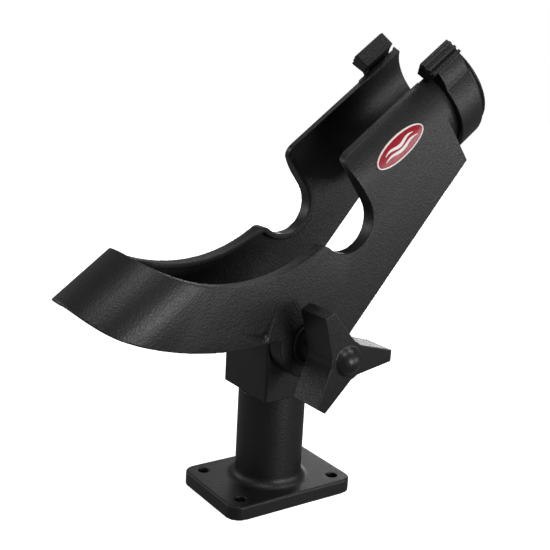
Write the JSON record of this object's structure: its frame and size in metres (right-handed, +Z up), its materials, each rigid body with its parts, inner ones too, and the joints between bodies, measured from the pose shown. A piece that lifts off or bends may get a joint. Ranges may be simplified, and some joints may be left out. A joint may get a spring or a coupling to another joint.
{
  "type": "rod holder",
  "caption": "Open-cradle fishing rod holder with a nose band, reel notch, rotating locking collar, tri-lobe tilt clamp and swivel post on a rectangular deck flange.",
  "frame": {"origin": "centre of the four deck screw holes at the underside of the deck flange", "axes": "+Z up, away from the deck; +X towards the rod's tip, along the flange's long side; -Y is the clamp knob's side"},
  "size_m": [0.2277, 0.0956, 0.232],
  "materials": {
    "nylon_black": "satin, fine pebble grain",
    "knob_black": "satin",
    "stainless": "brushed",
    "brass": "turned",
    "badge": "gloss, raised pale rim and plain stripes"
  },
  "bodies": {
    "deck_mount": {"deck_flange_post": "nylon_black"},
    "head": {"swivel_head": "nylon_black", "head_insert_nut": "brass", "head_retaining_washer": "stainless", "head_retaining_screw": "stainless"},
    "cradle_body": {"cradle": "nylon_black", "pivot_bolt": "stainless", "badge_near": "badge", "badge_far": "badge"},
    "collar": {"locking_collar": "nylon_black"},
    "clamp_washer": {"knob_washer": "nylon_black"},
    "clamp_knob": {"tri_lobe_knob": "knob_black", "knob_insert_nut": "brass"}
  },
  "joints": [
    {"name": "head_swivel", "type": "hinge", "parent": "deck_mount", "child": "head", "pos_m": [0, 0, 0.0545], "axis": [0, 0, 1], "continuous": true},
    {"name": "cradle_tilt", "type": "hinge", "parent": "head", "child": "cradle_body", "pos_m": [0, 0, 0.0856], "axis": [0, -1, 0], "range_deg": [-40, 50]},
    {"name": "collar_turn", "type": "hinge", "parent": "cradle_body", "child": "collar", "pos_m": [0.08494, 0, 0.2011], "axis": [0.7923, 0, 0.6101], "range_deg": [-4, 110]},
    {"name": "knob_turn", "type": "hinge", "parent": "clamp_washer", "child": "clamp_knob", "pos_m": [0, -0.045, 0.0856], "axis": [0, -1, 0], "range_deg": [0, 720]},
    {"name": "knob_travel", "type": "slide", "parent": "cradle_body", "child": "clamp_washer", "axis": [0, -1, 0], "range_m": [0, 0.0025]}
  ],
  "couplings": [
    {"joint": "knob_travel", "follows": "knob_turn", "m_per_rad": 0.00019894}
  ]
}
